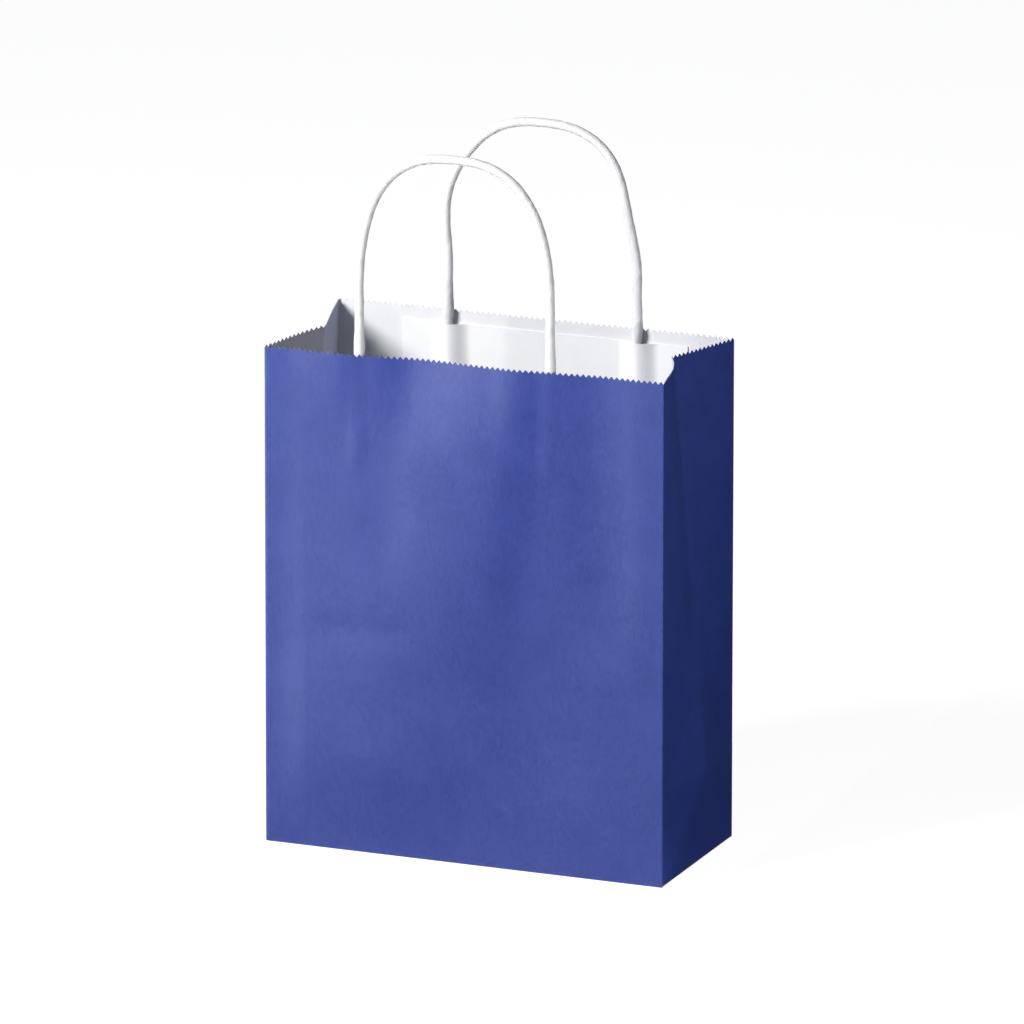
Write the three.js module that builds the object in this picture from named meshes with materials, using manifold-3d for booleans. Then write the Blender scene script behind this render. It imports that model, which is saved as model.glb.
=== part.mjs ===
// Paper carrier bag.
// One folded sheet makes the panels, the side gussets and the block bottom. Each of the two
// handles is a paper cord glued between a backing strip and a cover strip inside the rim.
// Millimetres, +Z up, front panel towards -Y, origin at the middle of the base.

import * as THREE from "three";
import { mergeVertices } from "three/addons/utils/BufferGeometryUtils.js";
import Module from "manifold-3d";

// Sheet
const bagWidth = 180;
const bagDepth = 80;
const bagHeight = 218; // base to the tips of the pinked rim
const sheet = 0.15; // thickness of the paper
const toothPitch = 2.5;
const toothDepth = 1.3;
const gussetTuck = 12; // how far the gusset creases are pushed in at the rim
const gussetBulge = 2; // how far the gussets stand out above the base folds
const panelSwell = 3.2; // how far the wide panels fill out
const swellPeak = 0.6; // height of their fullest place, as a share of the bag's height
const flapOverlap = 16; // of the two long base flaps
const seamWidth = 14; // glued overlap of the sheet's two side edges

// Handles
const cordDiameter = 4;
const legSpacing = 86;
const handleRise = 85; // rim to the middle of the cord at the top of the arch
const legRise = 22; // straight part of a leg above the rim
const archPower = 2.55; // 2 gives an ellipse, more a squarer arch
const handleShift = 4.3; // off the panel's middle, to the left as seen from outside
const tailMargin = 4; // cut end of a leg to the lower edge of the strips

// Glued strips
const stripLength = 130;
const stripHeight = 36;
const stripDrop = 6; // rim to the top edge of the strips
const stripPaper = 0.15;
const glueGap = 0.1;

// Paper pressed round the cords
const ridgeHeight = 0.8; // outwards, on the panels
const ridgeSpread = 3; // width of a ridge in cord diameters
const ridgeTaper = 10; // fade of a ridge below the strips

// Facets
const ridgeFacets = 12;
const swellRings = 8; // levels of the wide panels
const stripRings = 4; // levels of the strips
const cordSides = 10;
const cordStep = 5;

// Trimming blanks
const trimMargin = 1; // how far a blank reaches past what it cuts
const trimReach = 1; // how far the blanks of the wide panels reach inside

// Derived places
const halfWidth = bagWidth / 2;
const halfDepth = bagDepth / 2;
const stripTop = bagHeight - stripDrop;
const stripBottom = stripTop - stripHeight;
const legs = [-1, 1].map((side) => -handleShift + (side * legSpacing) / 2);
const backingLine = sheet + glueGap; // inwards from the outside of the panel
const coverLine = backingLine + stripPaper + glueGap;
const cordLine = coverLine - ridgeHeight + cordDiameter / 2;
const swellPower = Math.log(0.5) / Math.log(swellPeak);
const swellFlat = handleShift + stripLength / 2; // the strips' reach, where the swell is even
const seamLine = halfWidth - seamWidth;

const printedPaper = new THREE.MeshStandardMaterial({ color: "#525da7", roughness: 0.7, metalness: 0 });
const whiteCord = new THREE.MeshStandardMaterial({ color: "#f3f3f1", roughness: 0.85, metalness: 0 });
const whiteStrip = new THREE.MeshStandardMaterial({ color: "#ececea", roughness: 0.85, metalness: 0 });

const wasm = await Module();
wasm.setup();

function toSolid(geometry) {
  const bare = geometry.clone();
  bare.deleteAttribute("normal");
  bare.deleteAttribute("uv");
  const merged = mergeVertices(bare);
  return new wasm.Manifold(
    new wasm.Mesh({
      numProp: 3,
      vertProperties: merged.attributes.position.array,
      triVerts: Uint32Array.from(merged.index.array),
    }),
  );
}

function toGeometry(solid) {
  const { vertProperties, triVerts } = solid.getMesh();
  const geometry = new THREE.BufferGeometry();
  geometry.setAttribute("position", new THREE.BufferAttribute(vertProperties, 3));
  geometry.setIndex(new THREE.BufferAttribute(triVerts, 1));
  geometry.computeVertexNormals();
  return geometry;
}

// Points across a wide panel, each with its share of a ridge's full height.
function panelPoints() {
  const width = ridgeSpread * cordDiameter;
  const ridges = legs.flatMap((leg) =>
    Array.from({ length: ridgeFacets + 1 }, (_, i) => {
      const across = i / ridgeFacets - 0.5;
      return { x: leg + across * width, share: (1 + Math.cos(2 * Math.PI * across)) / 2 };
    }),
  );
  const edges = [-seamLine, -swellFlat, swellFlat, seamLine].map((x) => ({ x, share: 0 }));
  return [...ridges, ...edges].sort((a, b) => a.x - b.x);
}

// How far a wide panel stands out at a point: not along the base, the rim and the corners.
function swell(x, z) {
  const across = THREE.MathUtils.clamp((halfWidth - Math.abs(x)) / (halfWidth - swellFlat), 0, 1);
  const up = Math.sin(Math.PI * THREE.MathUtils.clamp(z / bagHeight, 0, 1) ** swellPower) ** 2;
  return panelSwell * across * up;
}

// Depth of the gusset crease at height z: out over the base folds, then in towards the rim.
function creaseDepth(z) {
  if (z > bagDepth) return (gussetTuck * (z - bagDepth)) / (bagHeight - bagDepth);
  return -gussetBulge * (1 - Math.abs(z - halfDepth) / halfDepth);
}

// Height of the panel ridges at height z: none below the strips, full beside them.
function ridgeLift(z) {
  const foot = stripBottom - ridgeTaper;
  return ridgeHeight * THREE.MathUtils.clamp((z - foot) / (stripBottom - glueGap - foot), 0, 1);
}

// Outline of the sheet at height z, anticlockwise from the front left corner.
function outline(z, inset) {
  const x = halfWidth - inset;
  const y = halfDepth - inset;
  const front = panelPoints().map((point) => [point.x, -y - point.share * ridgeLift(z) - swell(point.x, z)]);
  const half = [[-x, -y], ...front, [x, -y], [x - creaseDepth(z), 0]];
  const opposite = half.map(([px, py]) => [-px, -py]);
  return [...half, ...opposite].map(([px, py]) => new THREE.Vector3(px, py, z));
}

// Closed solid through rings of equal count, bottom first. Each quad is split along the
// diagonal that stands further out, which puts the slanting folds into the gussets.
function loft(rings) {
  const count = rings[0].length;
  const points = rings.flat();
  const faces = [];
  const edge1 = new THREE.Vector3();
  const edge2 = new THREE.Vector3();
  const toFourth = new THREE.Vector3();
  for (let level = 0; level < rings.length - 1; level++) {
    for (let i = 0; i < count; i++) {
      const a = level * count + i;
      const b = level * count + ((i + 1) % count);
      const [c, d] = [b + count, a + count];
      edge1.subVectors(points[b], points[a]);
      edge2.subVectors(points[c], points[a]);
      toFourth.subVectors(points[d], points[a]);
      const outside = edge1.cross(edge2).dot(toFourth) > 0;
      faces.push(...(outside ? [a, b, d, b, c, d] : [a, b, c, a, c, d]));
    }
  }
  const cap = THREE.ShapeUtils.triangulateShape(rings[0], []);
  const top = points.length - count;
  cap.forEach(([a, b, c]) => faces.push(a, c, b, top + a, top + b, top + c));
  const geometry = new THREE.BufferGeometry().setFromPoints(points);
  geometry.setIndex(faces);
  return toSolid(geometry);
}

// Heights of the folds and of the rings that carry the swell, between a bottom and a top.
function wallLevels(bottom, top) {
  const strips = Array.from({ length: stripRings }, (_, i) => stripTop - (i * stripHeight) / stripRings);
  const folds = [halfDepth, bagDepth, stripBottom - ridgeTaper, stripBottom - glueGap, ...strips];
  const spacing = bagHeight / swellRings;
  const rings = Array.from({ length: swellRings - 1 }, (_, i) => (i + 1) * spacing);
  const apart = rings.filter((z) => folds.every((fold) => Math.abs(z - fold) > spacing / 4));
  return [bottom, ...[...folds, ...apart].sort((a, b) => a - b), top];
}

function wallRings(bottom, top, inset) {
  return wallLevels(bottom, top).map((z) => outline(z, inset));
}

// Blank with a toothed lower edge, standing along X between two distances in front of the origin.
function toothedBlank(span, endMargin, near, far) {
  const count = Math.round(span / toothPitch);
  const valley = bagHeight - toothDepth;
  const end = span / 2 + endMargin;
  const shape = new THREE.Shape().moveTo(-end, valley);
  for (let i = 0; i < count; i++) {
    shape.lineTo((i / count - 0.5) * span, valley);
    shape.lineTo(((i + 0.5) / count - 0.5) * span, bagHeight);
  }
  shape.lineTo(span / 2, valley);
  shape.lineTo(end, valley);
  shape.lineTo(end, bagHeight + 2 * trimMargin);
  shape.lineTo(-end, bagHeight + 2 * trimMargin);
  const blank = new THREE.ExtrudeGeometry(shape, { depth: far - near, bevelEnabled: false });
  return blank.rotateX(Math.PI / 2).translate(0, -near, 0);
}

function rimBlanks() {
  const panel = [halfDepth - trimReach, halfDepth + ridgeHeight + trimMargin];
  const gusset = [halfWidth - gussetTuck - trimMargin, halfWidth + trimMargin];
  const blanks = [0, Math.PI].flatMap((turn) => [
    toothedBlank(bagWidth, trimMargin, ...panel).rotateZ(turn),
    toothedBlank(bagDepth - 2 * trimReach, 0, ...gusset).rotateZ(turn + Math.PI / 2),
  ]);
  return blanks.map(toSolid);
}

// Steps left by the folded base flaps: the front flap lies lowest, over the back flap,
// and both leave a triangle of each end flap open.
function baseSteps() {
  const backFlap = new THREE.BoxGeometry(
    bagWidth + 2 * gussetBulge,
    halfDepth - flapOverlap / 2 + trimMargin,
    2 * sheet,
  ).translate(0, (halfDepth + trimMargin + flapOverlap / 2) / 2, 0);
  const triangle = new THREE.Shape([
    new THREE.Vector2(halfWidth - halfDepth, 0),
    new THREE.Vector2(halfWidth + trimMargin, -halfDepth - trimMargin),
    new THREE.Vector2(halfWidth + trimMargin, halfDepth + trimMargin),
  ]);
  const ends = [0, Math.PI].map((turn) =>
    new THREE.ExtrudeGeometry(triangle, { depth: 4 * sheet, bevelEnabled: false })
      .translate(0, 0, -2 * sheet)
      .rotateZ(turn),
  );
  return [backFlap, ...ends].map(toSolid);
}

// Overlap of the sheet's side edges, standing proud along one corner of the back panel.
function glueSeam(floor) {
  const [inner, outer] = [halfDepth - sheet / 2, halfDepth + sheet];
  const rings = wallLevels(floor, bagHeight + trimMargin).map((z) => {
    const corner = (x, y) => new THREE.Vector3(x, y + swell(x, z), z);
    const near = [corner(seamLine, inner), corner(halfWidth, inner)];
    return [...near, corner(halfWidth, outer), corner(seamLine, outer)];
  });
  return loft(rings);
}

function bagBody() {
  const floor = 3 * sheet; // end flaps on the two long flaps
  const flapLength = halfDepth + flapOverlap / 2;
  const outside = loft(wallRings(0, bagHeight + trimMargin, 0));
  const inside = loft(wallRings(floor, bagHeight + 2 * trimMargin, sheet));
  const betweenEndFlaps = toSolid(
    new THREE.BoxGeometry(bagWidth - 2 * flapLength, bagDepth - 2 * sheet, 2 * sheet).translate(0, 0, floor),
  );
  let body = outside.add(glueSeam(floor)).subtract(inside).subtract(betweenEndFlaps);
  for (const cut of [...rimBlanks(), ...baseSteps()]) body = body.subtract(cut);
  return toGeometry(body);
}

// Middle line of a handle: a straight leg, an arch on a superellipse, and a straight leg.
class HandleLine extends THREE.Curve {
  constructor() {
    super();
    this.arcLengthDivisions = 1000;
  }

  getPoint(t, target = new THREE.Vector3()) {
    const tail = stripBottom + tailMargin;
    const spring = bagHeight + legRise;
    const legShare = 0.25;
    const along = Math.min(t, 1 - t) / legShare;
    if (along < 1) {
      return target.set(t < 0.5 ? legs[0] : legs[1], cordLine, tail + (spring - tail) * along);
    }
    const angle = (Math.PI * (1 - legShare - t)) / (1 - 2 * legShare);
    const across = Math.sign(Math.cos(angle)) * Math.abs(Math.cos(angle)) ** (2 / archPower);
    const up = Math.abs(Math.sin(angle)) ** (2 / archPower);
    return target.set(
      -handleShift + (legSpacing / 2) * across,
      cordLine,
      spring + (handleRise - legRise) * up,
    );
  }
}

function handleCord() {
  const line = new HandleLine();
  const corners = Array.from({ length: cordSides }, (_, i) => {
    const angle = (2 * Math.PI * i) / cordSides;
    return new THREE.Vector2(Math.cos(angle), Math.sin(angle)).multiplyScalar(cordDiameter / 2);
  });
  return new THREE.ExtrudeGeometry(new THREE.Shape(corners), {
    steps: Math.round(line.getLength() / cordStep),
    extrudePath: line,
  });
}

// Strip of paper along the panel, raised by lift where it crosses the cord legs.
function strip(base, lift) {
  const ends = [-1, 1].map((side) => ({ x: -handleShift + (side * stripLength) / 2, share: 0 }));
  const between = panelPoints().filter(({ x }) => x > ends[0].x && x < ends[1].x);
  const under = [ends[0], ...between, ends[1]].map(
    (point) => new THREE.Vector2(point.x, base + lift * point.share),
  );
  const over = under.map((point) => new THREE.Vector2(point.x, point.y + stripPaper)).reverse();
  const shape = new THREE.Shape([...under, ...over]);
  const blank = { depth: stripHeight, steps: stripRings, bevelEnabled: false };
  return new THREE.ExtrudeGeometry(shape, blank).translate(0, 0, stripBottom);
}

// Moves a piece out with the panel that it is glued to.
function followSwell(geometry) {
  const points = geometry.attributes.position;
  for (let i = 0; i < points.count; i++) {
    points.setY(i, points.getY(i) - swell(points.getX(i), points.getZ(i)));
  }
  geometry.computeVertexNormals();
  return geometry;
}

function named(name, geometry, material) {
  const mesh = new THREE.Mesh(geometry, material);
  mesh.name = name;
  return mesh;
}

function handleUnit(place) {
  const group = new THREE.Group();
  const coverLift = cordDiameter + glueGap - ridgeHeight;
  group.add(
    named(`${place}_handle`, followSwell(handleCord()), whiteCord),
    named(`${place}_handle_backing`, followSwell(strip(backingLine, -ridgeHeight)), whiteStrip),
    named(`${place}_handle_cover`, followSwell(strip(coverLine, coverLift)), whiteStrip),
  );
  return group;
}

const bag = new THREE.Group();
const frontUnit = handleUnit("front");
frontUnit.position.y = -halfDepth;
const rearUnit = handleUnit("rear");
rearUnit.position.y = halfDepth;
rearUnit.rotation.z = Math.PI;
bag.add(named("bag_body", bagBody(), printedPaper), frontUnit, rearUnit);

export default bag;
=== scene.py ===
import math

import bpy
import numpy as np
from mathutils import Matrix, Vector, noise


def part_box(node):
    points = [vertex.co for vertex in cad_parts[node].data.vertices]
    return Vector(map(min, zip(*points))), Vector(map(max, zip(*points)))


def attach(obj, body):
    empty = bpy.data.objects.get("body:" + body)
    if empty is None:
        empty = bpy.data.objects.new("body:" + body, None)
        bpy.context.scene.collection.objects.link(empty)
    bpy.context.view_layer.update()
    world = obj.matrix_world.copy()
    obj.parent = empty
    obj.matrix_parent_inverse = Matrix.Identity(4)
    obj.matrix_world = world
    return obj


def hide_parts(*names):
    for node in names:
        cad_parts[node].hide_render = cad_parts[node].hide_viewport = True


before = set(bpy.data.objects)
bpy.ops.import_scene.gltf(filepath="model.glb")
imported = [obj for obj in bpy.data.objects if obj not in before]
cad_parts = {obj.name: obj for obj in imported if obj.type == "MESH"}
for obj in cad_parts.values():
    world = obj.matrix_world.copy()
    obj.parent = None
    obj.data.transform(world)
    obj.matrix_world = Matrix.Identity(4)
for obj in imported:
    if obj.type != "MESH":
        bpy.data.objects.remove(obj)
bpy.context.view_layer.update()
mm = 0.001

# shapes are worked out in millimetres and written to the meshes in metres
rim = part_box("bag_body")[1].z / mm
near = 0.01  # points closer than this lie on the same wall or edge
straight = 0.99  # share of a length along an axis that counts as along it
turns = {"front": 1, "rear": -1}  # the rear is the front turned half round


def clearSelection():
    if bpy.context.mode != "OBJECT":
        bpy.ops.object.mode_set(mode="OBJECT")
    bpy.ops.object.select_all(action="DESELECT")


def makeActive(piece):
    clearSelection()
    piece.select_set(True)
    bpy.context.view_layer.objects.active = piece


def readPoints(piece):
    flat = np.empty(len(piece.data.vertices) * 3)
    piece.data.vertices.foreach_get("co", flat)
    return flat.reshape(-1, 3) / mm


def writePoints(piece, points):
    piece.data.vertices.foreach_set("co", (points * mm).ravel())
    piece.data.update()


def selectEdges(piece, wanted):
    # wanted gets both ends of every edge as arrays, in millimetres
    makeActive(piece)
    bpy.context.tool_settings.mesh_select_mode = (False, True, False)
    bpy.ops.object.mode_set(mode="EDIT")
    bpy.ops.mesh.select_all(action="DESELECT")
    bpy.ops.object.mode_set(mode="OBJECT")
    points = readPoints(piece)
    ends = np.empty(len(piece.data.edges) * 2, int)
    piece.data.edges.foreach_get("vertices", ends)
    ends = ends.reshape(-1, 2)
    piece.data.edges.foreach_set("select", wanted(points[ends[:, 0]], points[ends[:, 1]]))
    bpy.ops.object.mode_set(mode="EDIT")


def cutEvenly(piece, axis, counts):
    # every edge along one axis is cut into equal lengths, in a few rounds
    def runsAlong(a, b):
        return np.abs(b - a)[:, axis] > straight * np.linalg.norm(b - a, axis=1)

    for count in counts:
        selectEdges(piece, runsAlong)
        bpy.ops.mesh.subdivide(number_cuts=count - 1)
        bpy.ops.object.mode_set(mode="OBJECT")


def applyModifier(piece, kind, **values):
    makeActive(piece)
    modifier = piece.modifiers.new(kind.title(), kind)
    for name, value in values.items():
        setattr(modifier, name, value)
    bpy.ops.object.modifier_apply(modifier=modifier.name)


def faceOutwards(piece):
    makeActive(piece)
    bpy.ops.object.mode_set(mode="EDIT")
    bpy.ops.mesh.select_all(action="SELECT")
    bpy.ops.mesh.normals_make_consistent(inside=False)
    bpy.ops.object.mode_set(mode="OBJECT")


def smoothShade(piece, degrees):
    makeActive(piece)
    bpy.ops.object.shade_smooth_by_angle(angle=math.radians(degrees))


def ease(t):
    t = np.clip(t, 0, 1)
    return t * t * (3 - 2 * t)


def swell(t):
    # 1 in the middle, 0 at -1 and 1, smooth all over
    return 0.5 * (1 + np.cos(math.pi * np.clip(t, -1, 1)))


def ripple(points, size, seed):
    shift = Vector((seed, 0, 0))
    return np.array([noise.noise(Vector(point) / size + shift) for point in points])


def waves(points, ripples):
    return sum(depth * ripple(points, size, seed) for size, depth, seed in ripples)


def waver(along, seed):
    return np.array([noise.noise(Vector((a, seed, 0.5))) for a in along])


# Paper: fibre and mottling shared by all four papers
def link(tree, source, target):
    tree.links.new(source, target)


def buildFibreGroup():
    group = bpy.data.node_groups.new("paperFibre", "ShaderNodeTree")
    face = group.interface
    face.new_socket("Vector", in_out="INPUT", socket_type="NodeSocketVector")
    face.new_socket("Fibre Scale", in_out="INPUT", socket_type="NodeSocketFloat")
    face.new_socket("Mottle Scale", in_out="INPUT", socket_type="NodeSocketFloat")
    face.new_socket("Fibre", in_out="OUTPUT", socket_type="NodeSocketFloat")
    face.new_socket("Mottle", in_out="OUTPUT", socket_type="NodeSocketFloat")
    nodes = group.nodes
    enter = nodes.new("NodeGroupInput")
    leave = nodes.new("NodeGroupOutput")
    stretch = nodes.new("ShaderNodeMapping")
    stretch.inputs["Scale"].default_value = (1.0, 1.0, 0.45)  # fibres run up the sheet
    fine = nodes.new("ShaderNodeTexNoise")
    fine.inputs["Detail"].default_value = 5
    fine.inputs["Roughness"].default_value = 0.62
    broad = nodes.new("ShaderNodeTexNoise")
    broad.inputs["Detail"].default_value = 3
    broad.inputs["Roughness"].default_value = 0.55
    link(group, enter.outputs["Vector"], stretch.inputs["Vector"])
    link(group, stretch.outputs["Vector"], fine.inputs["Vector"])
    link(group, enter.outputs["Fibre Scale"], fine.inputs["Scale"])
    link(group, enter.outputs["Vector"], broad.inputs["Vector"])
    link(group, enter.outputs["Mottle Scale"], broad.inputs["Scale"])
    link(group, fine.outputs["Fac"], leave.inputs["Fibre"])
    link(group, broad.outputs["Fac"], leave.inputs["Mottle"])
    return group


fibreGroup = buildFibreGroup()
noiseSpan = (0.3, 0.7)  # where most values of a noise texture lie


def spanNode(nodes, low, high):
    # stretches those values from low to high
    span = nodes.new("ShaderNodeMapRange")
    span.inputs["From Min"].default_value = noiseSpan[0]
    span.inputs["From Max"].default_value = noiseSpan[1]
    span.inputs["To Min"].default_value = low
    span.inputs["To Max"].default_value = high
    return span


def startPaper(name, finish):
    # a Principled shader with mottled colour, fibre roughness and fibre bump
    material = bpy.data.materials.new(name)
    material.use_nodes = True
    tree = material.node_tree
    nodes = tree.nodes
    shader = nodes["Principled BSDF"]
    shader.inputs["Specular IOR Level"].default_value = finish["specular"]
    place = nodes.new("ShaderNodeTexCoord")
    fibre = nodes.new("ShaderNodeGroup")
    fibre.node_tree = fibreGroup
    fibre.inputs["Fibre Scale"].default_value = finish["fibreScale"]
    fibre.inputs["Mottle Scale"].default_value = finish["mottleScale"]
    link(tree, place.outputs["Object"], fibre.inputs["Vector"])
    colour = nodes.new("ShaderNodeMix")
    colour.data_type = "RGBA"
    colour.inputs["A"].default_value = (*finish["deep"], 1)
    colour.inputs["B"].default_value = (*finish["pale"], 1)
    spread = spanNode(nodes, 0, 1)
    cloud = nodes.new("ShaderNodeMix")
    cloud.inputs["Factor"].default_value = finish["fibreShare"]
    link(tree, fibre.outputs["Mottle"], cloud.inputs["A"])
    link(tree, fibre.outputs["Fibre"], cloud.inputs["B"])
    link(tree, cloud.outputs["Result"], spread.inputs["Value"])
    link(tree, spread.outputs["Result"], colour.inputs["Factor"])
    rough = spanNode(nodes, *finish["roughness"])
    link(tree, fibre.outputs["Fibre"], rough.inputs["Value"])
    link(tree, rough.outputs["Result"], shader.inputs["Roughness"])
    bump = nodes.new("ShaderNodeBump")
    bump.inputs["Strength"].default_value = finish["bumpStrength"]
    bump.inputs["Distance"].default_value = finish["bumpDepth"]
    link(tree, fibre.outputs["Fibre"], bump.inputs["Height"])
    link(tree, bump.outputs["Normal"], shader.inputs["Normal"])
    return material, shader, fibre, colour


printFinish = {
    "deep": (0.014, 0.037, 0.245),
    "pale": (0.026, 0.055, 0.303),
    "fibreShare": 0.55,
    "roughness": (0.42, 0.50),
    "specular": 0.85,
    "fibreScale": 900,
    "mottleScale": 60,
    "bumpStrength": 0.6,
    "bumpDepth": 0.05 * mm,
    "worn": (0.10, 0.13, 0.38),
}
insideFinish = {
    "deep": (0.79, 0.79, 0.81),
    "pale": (0.82, 0.82, 0.84),
    # blue-grey of the print showing through, made darker as painted shade on the gussets' insides
    "showThroughAndShade": (0.52, 0.56, 0.70),
    "fibreShare": 0.3,
    "roughness": (0.7, 0.85),
    "specular": 0.3,
    "fibreScale": 700,
    "mottleScale": 90,
    "bumpStrength": 0.2,
    "bumpDepth": 0.04 * mm,
}
stripFinish = {
    "deep": (0.88, 0.88, 0.885),
    "pale": (0.91, 0.91, 0.91),
    "fibreShare": 0.3,
    "roughness": (0.7, 0.85),
    "specular": 0.3,
    "fibreScale": 700,
    "mottleScale": 120,
    "bumpStrength": 0.25,
    "bumpDepth": 0.04 * mm,
}
cordFinish = {
    "deep": (0.72, 0.72, 0.725),
    "pale": (0.77, 0.77, 0.765),
    "fibreShare": 0.3,
    "roughness": (0.6, 0.8),
    "specular": 0.35,
    "fibreScale": 1100,
    "mottleScale": 260,
    "bumpStrength": 0.3,
    "bumpDepth": 0.06 * mm,
    "glow": 0.8,
    "seep": 3 * mm,
}


def printedPaper(name, finish):
    # ink thins along the folds, where the mesh carries foldWear
    material, shader, fibre, colour = startPaper(name, finish)
    tree = material.node_tree
    nodes = tree.nodes
    wear = nodes.new("ShaderNodeAttribute")
    wear.attribute_name = "foldWear"
    broken = nodes.new("ShaderNodeMath")
    broken.operation = "MULTIPLY"
    worn = nodes.new("ShaderNodeMix")
    worn.data_type = "RGBA"
    worn.inputs["B"].default_value = (*finish["worn"], 1)
    link(tree, wear.outputs["Fac"], broken.inputs[0])
    link(tree, fibre.outputs["Fibre"], broken.inputs[1])
    link(tree, broken.outputs["Value"], worn.inputs["Factor"])
    link(tree, colour.outputs["Result"], worn.inputs["A"])
    link(tree, worn.outputs["Result"], shader.inputs["Base Color"])
    return material


def barePaper(name, finish):
    material, shader, _, colour = startPaper(name, finish)
    link(material.node_tree, colour.outputs["Result"], shader.inputs["Base Color"])
    return material


def thinShadedPaper(name, finish):
    # the print on the other side shows through, and painted shade darkens the gussets, where the
    # mesh carries showThroughAndShade
    material, shader, _, colour = startPaper(name, finish)
    tree = material.node_tree
    showAndShade = tree.nodes.new("ShaderNodeAttribute")
    showAndShade.attribute_name = "showThroughAndShade"
    tintedAndShaded = tree.nodes.new("ShaderNodeMix")
    tintedAndShaded.data_type = "RGBA"
    tintedAndShaded.inputs["B"].default_value = (*finish["showThroughAndShade"], 1)
    link(tree, showAndShade.outputs["Fac"], tintedAndShaded.inputs["Factor"])
    link(tree, colour.outputs["Result"], tintedAndShaded.inputs["A"])
    link(tree, tintedAndShaded.outputs["Result"], shader.inputs["Base Color"])
    return material


printedBlue = printedPaper("printedBlue", printFinish)
insideWhite = thinShadedPaper("insideWhite", insideFinish)
stripWhite = barePaper("stripWhite", stripFinish)
cordWhite = barePaper("cordWhite", cordFinish)
cordShader = cordWhite.node_tree.nodes["Principled BSDF"]
cordShader.inputs["Subsurface Weight"].default_value = cordFinish["glow"]  # light seeps through
cordShader.inputs["Subsurface Radius"].default_value = (1, 1, 1)
cordShader.inputs["Subsurface Scale"].default_value = cordFinish["seep"]
print("papers mixed")


# Bag: one sheet folded round a box, open at the mouth
bag = {
    "width": 180,
    "depth": 80,
    "columns": (12, 12),  # of the wide panels, in two rounds of cuts
    "sideColumns": (8, 8),
    "rows": (29, 3),
    "rowHeight": 2.5,
    "paper": 0.15,
    "toothDepth": 1.3,
    "foldWidth": 0.35,
    "foldAngle": 60,  # edges sharper than this are folds
    "smoothAngle": 40,
    "tuck": {-1: 13.0, 1: 13.0},  # of the left and right gusset crease at the rim
    "tuckLine": {-1: -4.0, 1: 1.5},  # where the creases reach the rim, across the gusset
    "creaseCrisp": 0.02,  # roundness of the crease, as a share of half the gusset
    "bow": {-1: 1.2, 1: 2.2},  # of the gussets' front halves at the rim
    "bowSkew": 1.5,  # fuller towards the crease
    "swell": 3.2,  # of the back panel
    "swellPeak": 0.6,  # height of the fullest place, as a share of the bag's
    "swellEdge": 22,  # width over which it falls away at the corners
    "baseBulge": 4.5,
    "baseFold": 40,
    "bellyFold": 80,
    "flapLength": 48,
    "endTaper": 0.99,  # of the end flaps, which lie between the long ones
    "ridgeHeight": 0.3,
    "ridgeWidth": 12,
    "ridgeFade": 10,
    "seamWidth": 14,  # one sheet edge glued over the other, at the back
    "lean": (3.2, -6.3, 0.0),  # of the front left corner of the mouth
    "leanSettle": 75,  # height over which a handle stands upright again
    "ripples": ((70, 0.55, 3.1), (28, 0.16, 7.7)),  # size, depth, seed
    "sideRipples": ((45, 0.4, 5.3), (22, 0.1, 1.9)),
    "wear": 0.5,
    "wearReach": (1.5, 1.2),  # from the upright corners and from the base folds
    "showShadeFront": 0.3,  # print showing through, and painted shade, on the gussets' front halves
    "showShadeLine": (-8, 12),  # where it grows across the gusset, and over what width
    "showShadeEdge": 3,
    "cornerCalm": 20,  # folds and ripples die away towards the corners and the base
    "panelCalm": 46,
    "gussetCalm": 12,
}
halfWidth = bag["width"] / 2
halfDepth = bag["depth"] / 2
columnWidth = bag["width"] / math.prod(bag["columns"])

# folds pressed by hand: start and end on the panel, reach to the left and right
# of that direction, height outwards
frontFolds = (
    ((-20, 112), (-28, 58), 70, 88, 4.0),  # the filled-out belly, left of the middle
    ((15, 166), (11, 138), 21, 50, 1.5),  # its crest, steep on the right
    ((-22, 240), (-22, 232), 44, 22, -3.2),  # the rim falls in beside the left leg
    ((-56, 236), (-56, 214), 12, 26, 1.2),  # and is pushed out by the legs
    ((24, 230), (24, 206), 14, 14, 0.8),
    ((60, 232), (64, 130), 22, 20, -0.9),
    ((-34, 168), (-34, 142), 16, 18, -0.4),
    ((-54, 98), (-30, 98), 10, 10, -0.28),
    ((-80, 80), (20, 80), 2.5, 2.5, -0.05),  # where the bag lay folded
    ((40, 80), (84, 80), 2.5, 2.5, -0.12),
    ((30, 40), (84, 40), 2.5, 2.5, -0.08),
)
backFolds = (
    ((20, 175), (-30, 110), 40, 18, 1.1),
    ((-58, 190), (-50, 120), 16, 26, -0.6),
)


def leanMouth(points):
    x, y, z = points.T
    left = np.clip((halfWidth - x) / bag["width"], 0, 1)
    front = np.clip(-y / halfDepth, 0, 1)
    height = np.clip(z / rim, 0, 1) * (1 - ease((z - rim) / bag["leanSettle"]))
    return points + (left * front * height)[:, None] * np.array(bag["lean"])


def pressFolds(folds, u, v):
    raised = np.zeros_like(u)
    for start, end, leftReach, rightReach, height in folds:
        run = np.subtract(end, start)
        length = np.linalg.norm(run)
        du, dv = u - start[0], v - start[1]
        along = (du * run[0] + dv * run[1]) / length
        across = (dv * run[0] - du * run[1]) / length
        reach = np.where(across > 0, leftReach, rightReach)
        past = np.maximum(np.maximum(-along, along - length), 0) / (leftReach + rightReach)
        raised += height * swell(across / reach) * swell(past)
    return raised


def panelSwell(x, z):
    power = math.log(0.5) / math.log(bag["swellPeak"])
    up = np.sin(math.pi * np.clip(z / rim, 0, 1) ** power) ** 2
    return bag["swell"] * up * ease((halfWidth - np.abs(x)) / bag["swellEdge"])


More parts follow.
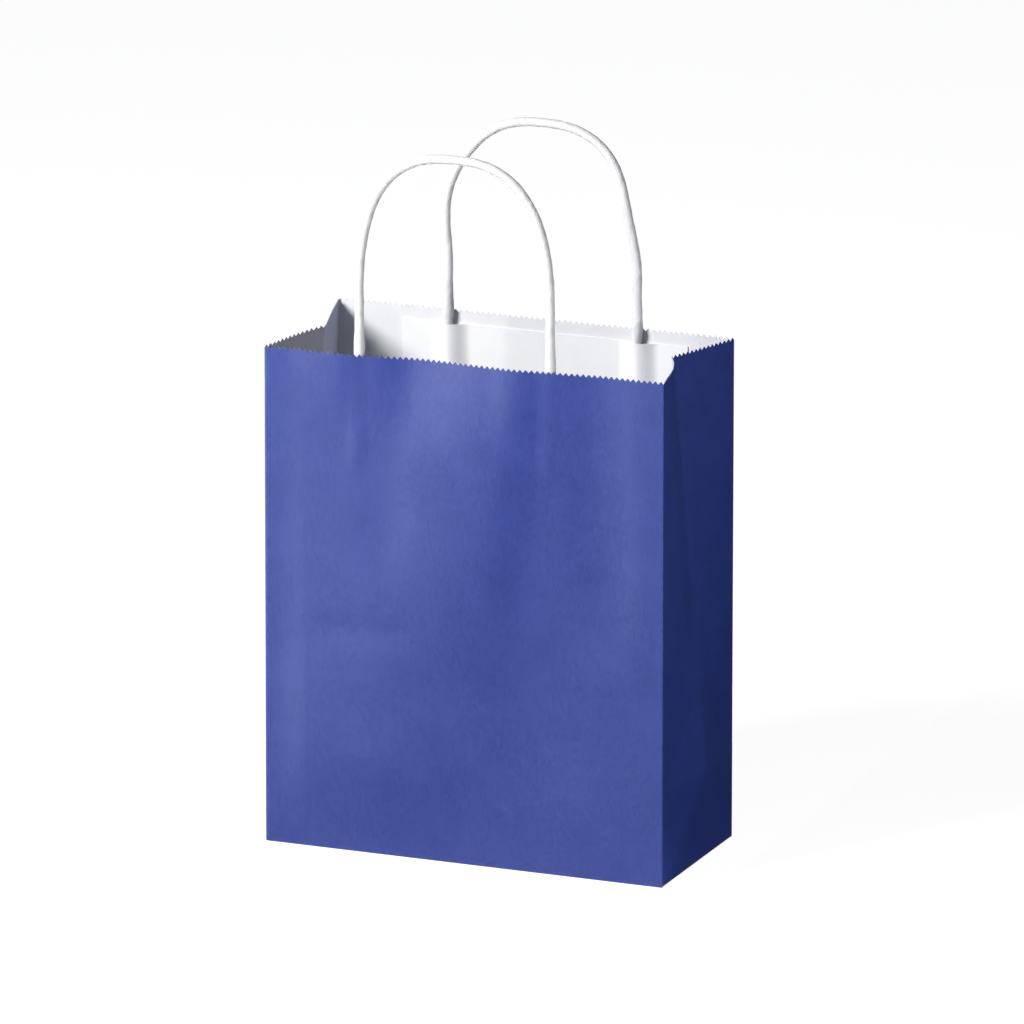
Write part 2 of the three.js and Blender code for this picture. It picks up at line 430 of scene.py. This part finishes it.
def panelRelief(place, x, z):
    # how far a wide panel stands out of the box, cord ridges aside
    front = place == "front"
    at = np.stack([x, np.full_like(x, -halfDepth if front else halfDepth), z], axis=1)
    folds = pressFolds(frontFolds, x, z) if front else pressFolds(backFolds, -x, z)
    calm = ease((halfWidth - np.abs(x)) / bag["cornerCalm"]) * ease(z / bag["panelCalm"])
    relief = (folds + waves(at, bag["ripples"])) * calm
    return relief if front else relief + panelSwell(x, z)


def legPlaces(place):
    low, high = (corner.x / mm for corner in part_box(place + "_handle"))
    return low + cord["thick"] / 2, high - cord["thick"] / 2


def cordRidges(place, x, z):
    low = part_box(place + "_handle_cover")[0].z / mm
    shown = ease((z - low + bag["ridgeFade"]) / bag["ridgeFade"])
    across = sum(swell((x - leg) / (bag["ridgeWidth"] / 2)) for leg in legPlaces(place))
    return bag["ridgeHeight"] * across * shown


def gussetDepth(side, y, z):
    # how far the gusset stands in from the box: over the base it bulges out in four
    # triangles, above the belly fold it is tucked in along its middle crease
    fold, belly = bag["baseFold"], bag["bellyFold"]
    climb = (z - belly) / (rim - belly)
    rise = np.clip(climb, 0, 1)
    line = bag["tuckLine"][side] * rise
    fromFront = (halfDepth + y) / (halfDepth + line)
    fromBack = (halfDepth - y) / (halfDepth - line)
    crisp = bag["creaseCrisp"]
    tent = -crisp * np.logaddexp(-fromFront / crisp, -fromBack / crisp)
    tucked = bag["tuck"][side] * climb * np.maximum(tent, 0)
    edge = 1 - np.abs(y) / halfDepth
    below = np.minimum(z / fold, edge)
    above = np.maximum(edge - (z - fold) / (belly - fold), 0)
    bulge = bag["baseBulge"] * np.where(z < fold, below, above)
    skewed = np.clip(fromFront, 0, 1) ** bag["bowSkew"]
    bow = bag["bow"][side] * rise * np.sin(math.pi * skewed)
    bow = np.where(fromFront < 1, bow, 0)
    return np.where(z > belly, tucked - bow, -bulge)


def onSides(points):
    return np.abs(np.abs(points[:, 0]) - halfWidth) < near


def onPanels(points):
    return np.abs(np.abs(points[:, 1]) - halfDepth) < near


def onFoot(points, axis, edge):
    # on the lower edge of one wall
    return np.abs(points[:, axis] - edge) + points[:, 2] < near


def shapeWalls(points):
    x, y, z = points.T.copy()
    shaped = points.copy()
    onSide, onPanel = onSides(points), onPanels(points)
    wall = onSide | onPanel

    # rows keep to the folds, and every second point of the rim is a notch
    row = np.rint(z / rim * math.prod(bag["rows"]))
    top = row == row.max()
    z = np.where(top, rim, row * bag["rowHeight"])
    column = np.rint(np.where(onPanel, x + halfWidth, y + halfDepth) / columnWidth)
    notch = top & (column % 2 == 0)
    z = z - bag["toothDepth"] * notch

    # the base folds lie on each other: front flap lowest, then back flap, then end flaps
    foot = wall & (row == 0)
    step = np.where(onPanel & (y > 0), 1, np.where(onPanel, 0, 2)) * (onPanel != onSide)
    z = np.where(foot, bag["paper"] * step, z)
    shaped[wall, 2] = z[wall]

    for place, turn in turns.items():
        here = onPanel & (np.sign(y) == -turn)
        raised = panelRelief(place, x[here], z[here]) + cordRidges(place, x[here], z[here])
        shaped[here, 1] -= turn * raised
    seam = onPanel & (y > 0) & (x > halfWidth - bag["seamWidth"])
    shaped[seam, 1] += bag["paper"]
    for side in (-1, 1):
        here = onSide & (np.sign(x) == side) & ~onPanel
        corner = ease((halfDepth - np.abs(y[here])) / bag["cornerCalm"])
        calm = corner * ease(z[here] / bag["gussetCalm"])
        raised = calm * waves(points[here], bag["sideRipples"])
        shaped[here, 0] += side * (raised - gussetDepth(side, y[here], z[here]))
    return leanMouth(shaped)


def foldWear(points):
    # strongest on the upright corners and the base folds
    x, y, z = np.abs(points.T)
    cornerReach, footReach = bag["wearReach"]
    corner = np.hypot(x - halfWidth, y - halfDepth)
    return bag["wear"] * np.clip(np.maximum(1 - corner / cornerReach, 1 - z / footReach), 0, 1)


def showThroughAndShade(points):
    # print showing through and painted shade on the gussets, most on the halves next to the back,
    # which face away from the light
    y = points[:, 1]
    start, width = bag["showShadeLine"]
    share = bag["showShadeFront"] + (1 - bag["showShadeFront"]) * ease((y - start) / width)
    return onSides(points) * share * ease((halfDepth - np.abs(y)) / bag["showShadeEdge"])


def buildBag():
    clearSelection()
    size = (bag["width"] * mm, bag["depth"] * mm, rim * mm)
    bpy.ops.mesh.primitive_cube_add(size=1, location=(0, 0, rim * mm / 2))
    body = bpy.context.object
    body.name = body.data.name = "bagBody"
    body.scale = size
    bpy.ops.object.transform_apply(location=True, rotation=True, scale=True)

    # the mouth and the base come off, and the walls are cut into a fine grid
    bpy.context.tool_settings.mesh_select_mode = (False, False, True)
    bpy.ops.object.mode_set(mode="EDIT")
    bpy.ops.mesh.select_all(action="DESELECT")
    bpy.ops.object.mode_set(mode="OBJECT")
    for face in body.data.polygons:
        face.select = abs(face.normal.z) > straight
    bpy.ops.object.mode_set(mode="EDIT")
    bpy.ops.mesh.delete(type="ONLY_FACE")
    bpy.ops.object.mode_set(mode="OBJECT")
    cutEvenly(body, 0, bag["columns"])
    cutEvenly(body, 1, bag["sideColumns"])
    cutEvenly(body, 2, bag["rows"])

    # four base flaps, folded in from the lower edge
    flap = bag["flapLength"]
    narrow = (halfWidth - flap) / halfWidth
    flaps = (
        # axis, side, layers below it, taper
        (1, -1, 0, narrow),
        (1, 1, 1, narrow),
        (0, -1, 2, bag["endTaper"]),
        (0, 1, 2, bag["endTaper"]),
    )
    for axis, sign, layers, taper in flaps:
        edge = sign * (halfDepth if axis == 1 else halfWidth)
        selectEdges(body, lambda a, b: onFoot(a, axis, edge) & onFoot(b, axis, edge))
        move = [0, 0, layers * bag["paper"] * mm]
        move[axis] = -sign * flap * mm
        bpy.ops.mesh.extrude_edges_move(TRANSFORM_OT_translate={"value": move})
        scale = [1, 1, 1]
        scale[1 - axis] = taper
        bpy.ops.transform.resize(value=scale, center_override=(0, 0, 0))
        bpy.ops.object.mode_set(mode="OBJECT")
    faceOutwards(body)

    flat = readPoints(body)
    wear = body.data.attributes.new("foldWear", "FLOAT", "POINT")
    wear.data.foreach_set("value", foldWear(flat))
    # print showing through, with painted shade, on the gussets' insides
    showAndShade = body.data.attributes.new("showThroughAndShade", "FLOAT", "POINT")
    showAndShade.data.foreach_set("value", showThroughAndShade(flat))
    writePoints(body, shapeWalls(flat))
    body.data.materials.append(printedBlue)
    body.data.materials.append(insideWhite)
    applyModifier(
        body, "BEVEL", width=bag["foldWidth"] * mm, segments=2, limit_method="ANGLE",
        angle_limit=math.radians(bag["foldAngle"]),
    )
    applyModifier(
        body, "SOLIDIFY", thickness=bag["paper"] * mm, offset=-1,
        material_offset=1, material_offset_rim=1,
    )
    smoothShade(body, bag["smoothAngle"])
    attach(body, "root")
    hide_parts("bag_body")
    print("bag folded:", len(body.data.polygons), "faces")


# Handles: a twisted paper cord between two glued strips
cord = {
    "thick": 4,
    "legRise": 22,
    "archPower": 2.55,
    "archPoints": 400,  # drawn before the line is spaced evenly
    "step": 1.2,
    "sides": 22,
    "weld": 0.005,
    "smoothAngle": 50,
    "twistPitch": 19,
    "lobes": ((2, 0.025, 0.0), (3, 0.015, 0.9), (5, 0.008, 2.1)),  # count, depth, turn
    "grooveDepth": 0.06,
    "grooveWidth": 0.4,
    "flare": (0.25, 5, 16),  # wider above the strips: share, and where it comes and goes
    "wander": (0.18, 17),  # off the drawn line, and the length of a wave of it
    "looseness": (0.22, 26),  # of the twist, in turns, and the length of a wave of it
    "seeds": {"front": (0, 20), "rear": (50, 70)},  # of the wander along and inwards
    "twistSeed": 90,
    "swayRear": -2.4,
    "swayLow": 20,
    "swayHigh": 80,
}


def toPlace(place, points):
    # points are given as for the front: along the panel, inwards from it, up
    turn = turns[place]
    x, inwards, z = np.asarray(points, float).T
    x = turn * x
    settled = ease((z - rim) / bag["leanSettle"])
    raised = panelRelief(place, x, np.minimum(z, rim)) * (1 - settled)
    placed = np.stack([x, turn * (inwards - raised - halfDepth), z], axis=1)
    return leanMouth(placed)


def cordOutline(place):
    # legs and arch as drawn: along the panel, up
    low, high = (corner.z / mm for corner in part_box(place + "_handle"))
    left, right = sorted(turns[place] * leg for leg in legPlaces(place))
    middle, half = (left + right) / 2, (right - left) / 2
    top = high - cord["thick"] / 2
    spring = rim + cord["legRise"]
    upright = np.arange(low, spring, cord["step"])
    angle = np.linspace(math.pi, 0, cord["archPoints"])
    power = 2 / cord["archPower"]
    across = np.sign(np.cos(angle)) * np.abs(np.cos(angle)) ** power
    up = spring + (top - spring) * np.sin(angle) ** power
    return np.concatenate([
        np.stack([np.full_like(upright, left), upright], axis=1),
        np.stack([middle + half * across, up], axis=1),
        np.stack([np.full_like(upright, right), upright[::-1]], axis=1),
    ])


def cordLine(place):
    # evenly spaced points on the cord, and the length of cord up to each
    line = cordOutline(place)
    run = np.concatenate([[0], np.cumsum(np.linalg.norm(np.diff(line, axis=0), axis=1))])
    even = np.linspace(0, run[-1], int(run[-1] / cord["step"]))
    x, z = (np.interp(even, run, line[:, i]) for i in (0, 1))
    sway = cord["swayRear"] if place == "rear" else 0
    centre = (cord["swayLow"] + cord["swayHigh"]) / 2
    x = x - sway * swell((z - rim - centre) / (cord["swayHigh"] - centre))
    off, wave = cord["wander"]
    free = off * ease((z - rim) / wave)
    alongSeed, inwardSeed = cord["seeds"][place]
    x = x + free * waver(even / wave, alongSeed)
    seat = coverLine - bag["ridgeHeight"] + cord["thick"] / 2
    inwards = seat + free * waver(even / wave, inwardSeed)
    return np.stack([x, inwards, z], axis=1), even


def cordSection():
    # a ring with shallow lobes and one groove, where the twisted ribbon's edge lies
    clearSelection()
    bpy.ops.mesh.primitive_circle_add(vertices=cord["sides"], radius=cord["thick"] / 2 * mm)
    ring = bpy.context.object
    ring.name = "cordSection"
    x, y, z = readPoints(ring).T
    angle = np.arctan2(y, x)
    lobes = (depth * (np.cos(count * angle + turn) - 1) for count, depth, turn in cord["lobes"])
    share = 1 + sum(lobes) - cord["grooveDepth"] * swell(angle / cord["grooveWidth"])
    writePoints(ring, np.stack([x * share, y * share, z], axis=1))
    bpy.ops.object.convert(target="CURVE")
    return bpy.context.object


def buildCord(place):
    line, run = cordLine(place)
    section = cordSection()
    loose, wave = cord["looseness"]
    twist = run / cord["twistPitch"] + loose * waver(run / wave, cord["twistSeed"])
    path = bpy.data.curves.new(place + "Handle", "CURVE")
    path.dimensions = "3D"
    path.twist_mode = "MINIMUM"
    path.bevel_mode = "OBJECT"
    path.bevel_object = section
    path.use_fill_caps = True
    spline = path.splines.new("POLY")
    spline.points.add(len(line) - 1)
    share, rise, fall = cord["flare"]
    up = line[:, 2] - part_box(place + "_handle_cover")[1].z / mm
    width = 1 + share * ease(up / rise) * (1 - ease((up - rise) / fall))
    placed = toPlace(place, line) * mm
    for point, at, turned, wide in zip(spline.points, placed, twist, width):
        point.co = (*at, 1)
        point.tilt = 2 * math.pi * turned
        point.radius = wide
    piece = bpy.data.objects.new(place + "Handle", path)
    bpy.context.scene.collection.objects.link(piece)
    makeActive(piece)
    bpy.ops.object.convert(target="MESH")
    piece = bpy.context.object
    bpy.data.objects.remove(section)
    bpy.ops.object.mode_set(mode="EDIT")
    bpy.ops.mesh.select_all(action="SELECT")
    bpy.ops.mesh.remove_doubles(threshold=cord["weld"] * mm)
    bpy.ops.object.mode_set(mode="OBJECT")
    faceOutwards(piece)
    piece.data.materials.clear()
    piece.data.materials.append(cordWhite)
    smoothShade(piece, cord["smoothAngle"])
    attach(piece, "root")
    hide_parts(place + "_handle")
    print(place, "cord twisted, length", round(run[-1]), "mm,", len(piece.data.polygons), "faces")


# Strips: the backing lies on the panel, the cover humps over the two cord ends
strip = {
    "columnWidth": 1.0,
    "rowHeight": 3.0,
    "paper": 0.15,
    "glue": 0.1,
    "humpWidth": 18,  # of the cover over a cord end
    "smoothAngle": 40,
}
backingLine = bag["paper"] + strip["glue"]  # inwards from the outside of the panel
coverLine = backingLine + strip["paper"] + strip["glue"]


def buildStrip(place, layer):
    low, high = (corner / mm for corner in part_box(place + "_handle_" + layer))
    length, height = high.x - low.x, high.z - low.z
    columns = round(length / strip["columnWidth"])
    rows = round(height / strip["rowHeight"])
    clearSelection()
    bpy.ops.mesh.primitive_grid_add(x_subdivisions=columns, y_subdivisions=rows, size=1)
    piece = bpy.context.object
    piece.name = piece.data.name = place + layer.title()
    u, v, w = readPoints(piece).T * mm + 0.5
    turn = turns[place]
    x = turn * (low.x + high.x) / 2 + (u - 0.5) * length
    z = low.z + v * height
    legs = [turn * leg for leg in legPlaces(place)]
    width = bag["ridgeWidth"] if layer == "backing" else strip["humpWidth"]
    hump = sum(swell((x - leg) / (width / 2)) for leg in legs)
    if layer == "backing":
        inwards = backingLine - bag["ridgeHeight"] * hump
    else:
        lift = cord["thick"] + strip["glue"] - bag["ridgeHeight"]
        inwards = coverLine + lift * hump
    writePoints(piece, toPlace(place, np.stack([x, inwards, z], axis=1)))
    # the sheet gets its thickness on the side away from the panel
    facing = piece.data.polygons[0].normal.y * turn
    piece.data.materials.append(stripWhite)
    side = 1 if facing > 0 else -1
    applyModifier(piece, "SOLIDIFY", thickness=strip["paper"] * mm, offset=side)
    faceOutwards(piece)
    smoothShade(piece, strip["smoothAngle"])
    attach(piece, "root")
    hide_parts(place + "_handle_" + layer)
    print(place, layer, "strip laid")


buildBag()
for place in turns:
    buildCord(place)
    for layer in ("backing", "cover"):
        buildStrip(place, layer)


# Stage: pale floor, a softbox, a strip for the side, cards for the sheen, bluish fill
stage = {
    "floorReach": 9.0,
    "floorColour": (0.86, 0.86, 0.86),
    "floorShade": 0.35,  # share of the floor that takes shadow where the camera sees it
    "floorGlow": 0.92,
    "glossShare": 0.05,
    "room": (0.055, 0.06, 0.085),  # what is left of the room's own light
    "cards": (
        # name, glow, size, place, facing, in diffuse light as well: for the paper's sheen,
        # and one that keeps the floor's light off the side
        ("darkFrontCard", 0.02, (0.5, 2.7), (-0.14, 0.1, 0.0004), (0, 0, 1), False),
        ("darkSideCard", 0.02, (1.3, 2.7), (0.76, 0.1, 0.0004), (0, 0, 1), True),
        ("paleSideCard", 30.0, (0.95, 0.85), (-1.95, -0.73, 0.33), (0.93, 0.35, -0.10), False),
    ),
    "lamps": (
        # name, watts, size, distance, direction, aim: a softbox high on the left and a
        # strip close by on the right, no higher than the mouth
        ("keySoftbox", 17.2, (0.38, 0.38), 1.15, (-0.46, -0.66, 0.59), (0, 0, 0.12)),
        ("sideStrip", 0.8, (0.25, 0.06), 0.40, (0.87, -0.5, 0.0), (0.09, 0, 0.19)),
    ),
}


def seenDirectly(tree):
    # 1 for camera and transmission rays, a share of it for glossy rays
    path = tree.nodes.new("ShaderNodeLightPath")
    gloss = tree.nodes.new("ShaderNodeMath")
    gloss.operation = "MULTIPLY_ADD"
    gloss.inputs[1].default_value = stage["glossShare"]
    total = tree.nodes.new("ShaderNodeMath")
    total.operation = "ADD"
    total.use_clamp = True
    link(tree, path.outputs["Is Glossy Ray"], gloss.inputs[0])
    link(tree, path.outputs["Is Camera Ray"], gloss.inputs[2])
    link(tree, gloss.outputs["Value"], total.inputs[0])
    link(tree, path.outputs["Is Transmission Ray"], total.inputs[1])
    return total.outputs["Value"]


def buildFloor():
    clearSelection()
    bpy.ops.mesh.primitive_plane_add(size=2 * stage["floorReach"])
    floor = bpy.context.object
    floor.name = floor.data.name = "studioFloor"
    material = bpy.data.materials.new("paleFloor")
    material.use_nodes = True
    tree = material.node_tree
    nodes = tree.nodes
    nodes.remove(nodes["Principled BSDF"])
    plain = nodes.new("ShaderNodeBsdfDiffuse")
    plain.inputs["Color"].default_value = (*stage["floorColour"], 1)
    shown = nodes.new("ShaderNodeBsdfDiffuse")
    shown.inputs["Color"].default_value = (*(stage["floorShade"],) * 3, 1)
    glow = nodes.new("ShaderNodeEmission")
    glow.inputs["Strength"].default_value = stage["floorGlow"]
    bright = nodes.new("ShaderNodeAddShader")
    choose = nodes.new("ShaderNodeMixShader")
    under = nodes.new("ShaderNodeMixShader")
    clear = nodes.new("ShaderNodeBsdfTransparent")
    side = nodes.new("ShaderNodeNewGeometry")
    link(tree, shown.outputs["BSDF"], bright.inputs[0])
    link(tree, glow.outputs["Emission"], bright.inputs[1])
    link(tree, seenDirectly(tree), choose.inputs["Fac"])
    link(tree, plain.outputs["BSDF"], choose.inputs[1])
    link(tree, bright.outputs["Shader"], choose.inputs[2])
    link(tree, side.outputs["Backfacing"], under.inputs["Fac"])  # see-through from below
    link(tree, choose.outputs["Shader"], under.inputs[1])
    link(tree, clear.outputs["BSDF"], under.inputs[2])
    link(tree, under.outputs["Shader"], nodes["Material Output"].inputs["Surface"])
    floor.data.materials.append(material)


def buildCards():
    for name, glow, size, place, facing, diffuse in stage["cards"]:
        clearSelection()
        turn = Vector(facing).to_track_quat("Z", "Y").to_euler()
        bpy.ops.mesh.primitive_plane_add(size=1, location=place, rotation=turn)
        card = bpy.context.object
        card.name = card.data.name = name
        card.scale = (*size, 1)
        bpy.ops.object.transform_apply(location=True, rotation=True, scale=True)
        material = bpy.data.materials.new(name)
        material.use_nodes = True
        nodes = material.node_tree.nodes
        nodes.remove(nodes["Principled BSDF"])
        shine = nodes.new("ShaderNodeEmission")
        shine.inputs["Strength"].default_value = glow
        surface = nodes["Material Output"].inputs["Surface"]
        link(material.node_tree, shine.outputs["Emission"], surface)
        card.data.materials.append(material)
        card.visible_camera = False
        card.visible_shadow = False
        card.visible_diffuse = diffuse
        card.visible_transmission = False


def buildWorld():
    world = bpy.data.worlds.new("studioFill")
    bpy.context.scene.world = world
    world.use_nodes = True
    tree = world.node_tree
    nodes = tree.nodes
    fill = nodes["Background"]
    fill.inputs["Color"].default_value = (*stage["room"], 1)
    white = nodes.new("ShaderNodeBackground")
    white.inputs["Color"].default_value = (1, 1, 1, 1)
    choose = nodes.new("ShaderNodeMixShader")
    link(tree, seenDirectly(tree), choose.inputs["Fac"])
    link(tree, fill.outputs["Background"], choose.inputs[1])
    link(tree, white.outputs["Background"], choose.inputs[2])
    link(tree, choose.outputs["Shader"], nodes["World Output"].inputs["Surface"])


def buildLamps():
    for name, watts, size, distance, direction, aim in stage["lamps"]:
        clearSelection()
        away = Vector(direction).normalized() * distance
        bpy.ops.object.light_add(type="AREA", location=Vector(aim) + away)
        lamp = bpy.context.object
        lamp.name = name
        lamp.data.shape = "RECTANGLE"
        lamp.data.size, lamp.data.size_y = size
        lamp.data.energy = watts
        lamp.rotation_euler = (-away).to_track_quat("-Z", "Y").to_euler()
        lamp.visible_camera = False


# Camera: a long lens from the front right, a little above
camera = {
    "azimuth": 22.35,
    "elevation": 15.32,
    "distance": 5.0,
    "lens": 419.4,
    "sensor": 36,
    "farClip": 50,
    "aim": (0.00594, 0.0, 0.14368),
}


def buildCamera():
    clearSelection()
    a, e = math.radians(camera["azimuth"]), math.radians(camera["elevation"])
    back = Vector((math.sin(a) * math.cos(e), -math.cos(a) * math.cos(e), math.sin(e)))
    bpy.ops.object.camera_add(location=Vector(camera["aim"]) + back * camera["distance"])
    eye = bpy.context.object
    eye.rotation_euler = (-back).to_track_quat("-Z", "Y").to_euler()
    eye.data.lens = camera["lens"]
    eye.data.sensor_width = camera["sensor"]
    eye.data.clip_end = camera["farClip"]
    bpy.context.scene.camera = eye


buildFloor()
buildCards()
buildWorld()
buildLamps()
buildCamera()
bpy.context.scene.view_settings.view_transform = "Standard"
print("stage set")
